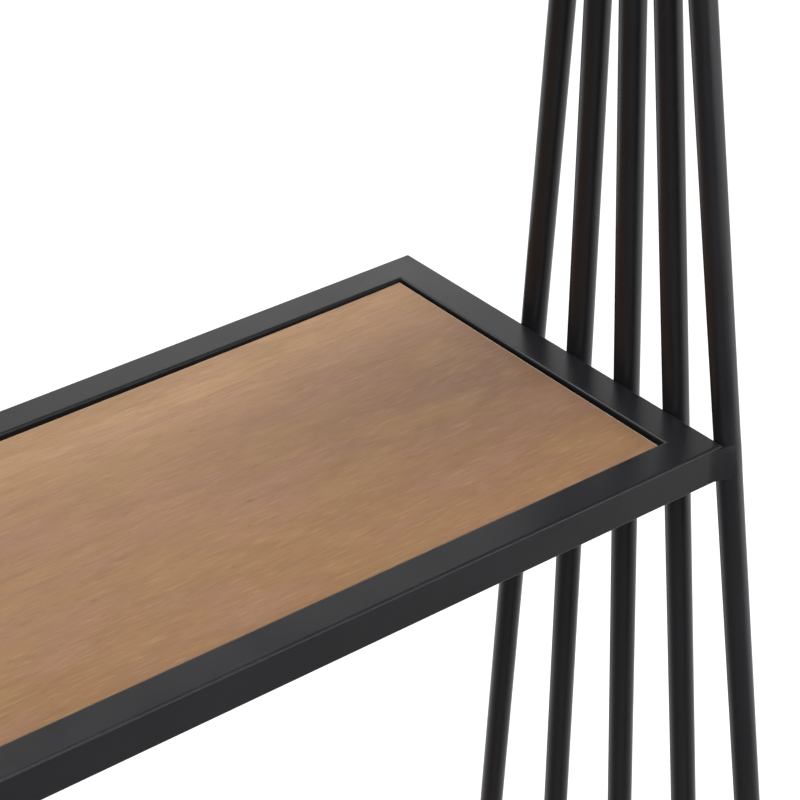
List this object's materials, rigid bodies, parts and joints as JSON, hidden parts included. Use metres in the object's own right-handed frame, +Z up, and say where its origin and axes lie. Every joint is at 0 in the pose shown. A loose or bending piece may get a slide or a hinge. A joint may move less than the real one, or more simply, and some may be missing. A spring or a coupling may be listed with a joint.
{
  "type": "hall tree",
  "caption": "Freestanding hall tree: side frames of fanned round steel rods carry a wood-topped upper shelf, a row of coat hooks and a wood-topped bench on levelling feet.",
  "frame": {"origin": "on the floor under the middle of the frame, at rest with the levelling feet screwed fully in", "axes": "+X along the bench to the right, +Y from the front to the back, +Z up"},
  "size_m": [0.8378, 0.515, 1.769],
  "materials": {
    "frame_steel": "satin black powder coat",
    "hook_steel": "satin black powder coat",
    "wood": "mid-brown matt lacquered board with fine grain",
    "black_plastic": "matt black moulded plastic",
    "zinc_steel": "bright zinc plated",
    "dark_screw": "black oxide"
  },
  "bodies": {
    "frame": {"bench_back_rail": "frame_steel", "bench_front_rail": "frame_steel", "bench_left_rail": "frame_steel", "bench_panel": "wood", "bench_panel_cleats": "frame_steel", "bench_panel_screws": "zinc_steel", "bench_right_rail": "frame_steel", "bench_support_bar_left": "frame_steel", "bench_support_bar_right": "frame_steel", "coat_hook_1": "hook_steel", "coat_hook_2": "hook_steel", "coat_hook_3": "hook_steel", "coat_hook_4": "hook_steel", "coat_hook_5": "hook_steel", "foot_inserts": "zinc_steel", "hook_bar": "hook_steel", "hook_bar_straps": "frame_steel", "hook_screws": "dark_screw", "left_base_rail": "frame_steel", "left_rod_1": "frame_steel", "left_rod_2": "frame_steel", "left_rod_3": "frame_steel", "left_rod_4": "frame_steel", "left_rod_5": "frame_steel", "left_top_rail": "frame_steel", "rail_end_caps": "black_plastic", "right_base_rail": "frame_steel", "right_rod_1": "frame_steel", "right_rod_2": "frame_steel", "right_rod_3": "frame_steel", "right_rod_4": "frame_steel", "right_rod_5": "frame_steel", "right_top_rail": "frame_steel", "shelf_back_rail": "frame_steel", "shelf_front_rail": "frame_steel", "shelf_left_rail": "frame_steel", "shelf_panel": "wood", "shelf_panel_cleats": "frame_steel", "shelf_panel_screws": "zinc_steel", "shelf_right_rail": "frame_steel", "top_crossbar": "frame_steel", "wall_anchor_tabs": "frame_steel"},
    "foot_front_left": {"foot_pad_front_left": "black_plastic", "foot_stud_front_left": "zinc_steel"},
    "foot_front_right": {"foot_pad_front_right": "black_plastic", "foot_stud_front_right": "zinc_steel"},
    "foot_rear_left": {"foot_pad_rear_left": "black_plastic", "foot_stud_rear_left": "zinc_steel"},
    "foot_rear_right": {"foot_pad_rear_right": "black_plastic", "foot_stud_rear_right": "zinc_steel"}
  },
  "joints": [
    {"name": "level_front_left", "type": "slide", "parent": "frame", "child": "foot_front_left", "axis": [0, 0, -1], "range_m": [0, 0.01]},
    {"name": "level_front_right", "type": "slide", "parent": "frame", "child": "foot_front_right", "axis": [0, 0, -1], "range_m": [0, 0.01]},
    {"name": "level_rear_left", "type": "slide", "parent": "frame", "child": "foot_rear_left", "axis": [0, 0, -1], "range_m": [0, 0.01]},
    {"name": "level_rear_right", "type": "slide", "parent": "frame", "child": "foot_rear_right", "axis": [0, 0, -1], "range_m": [0, 0.01]}
  ]
}
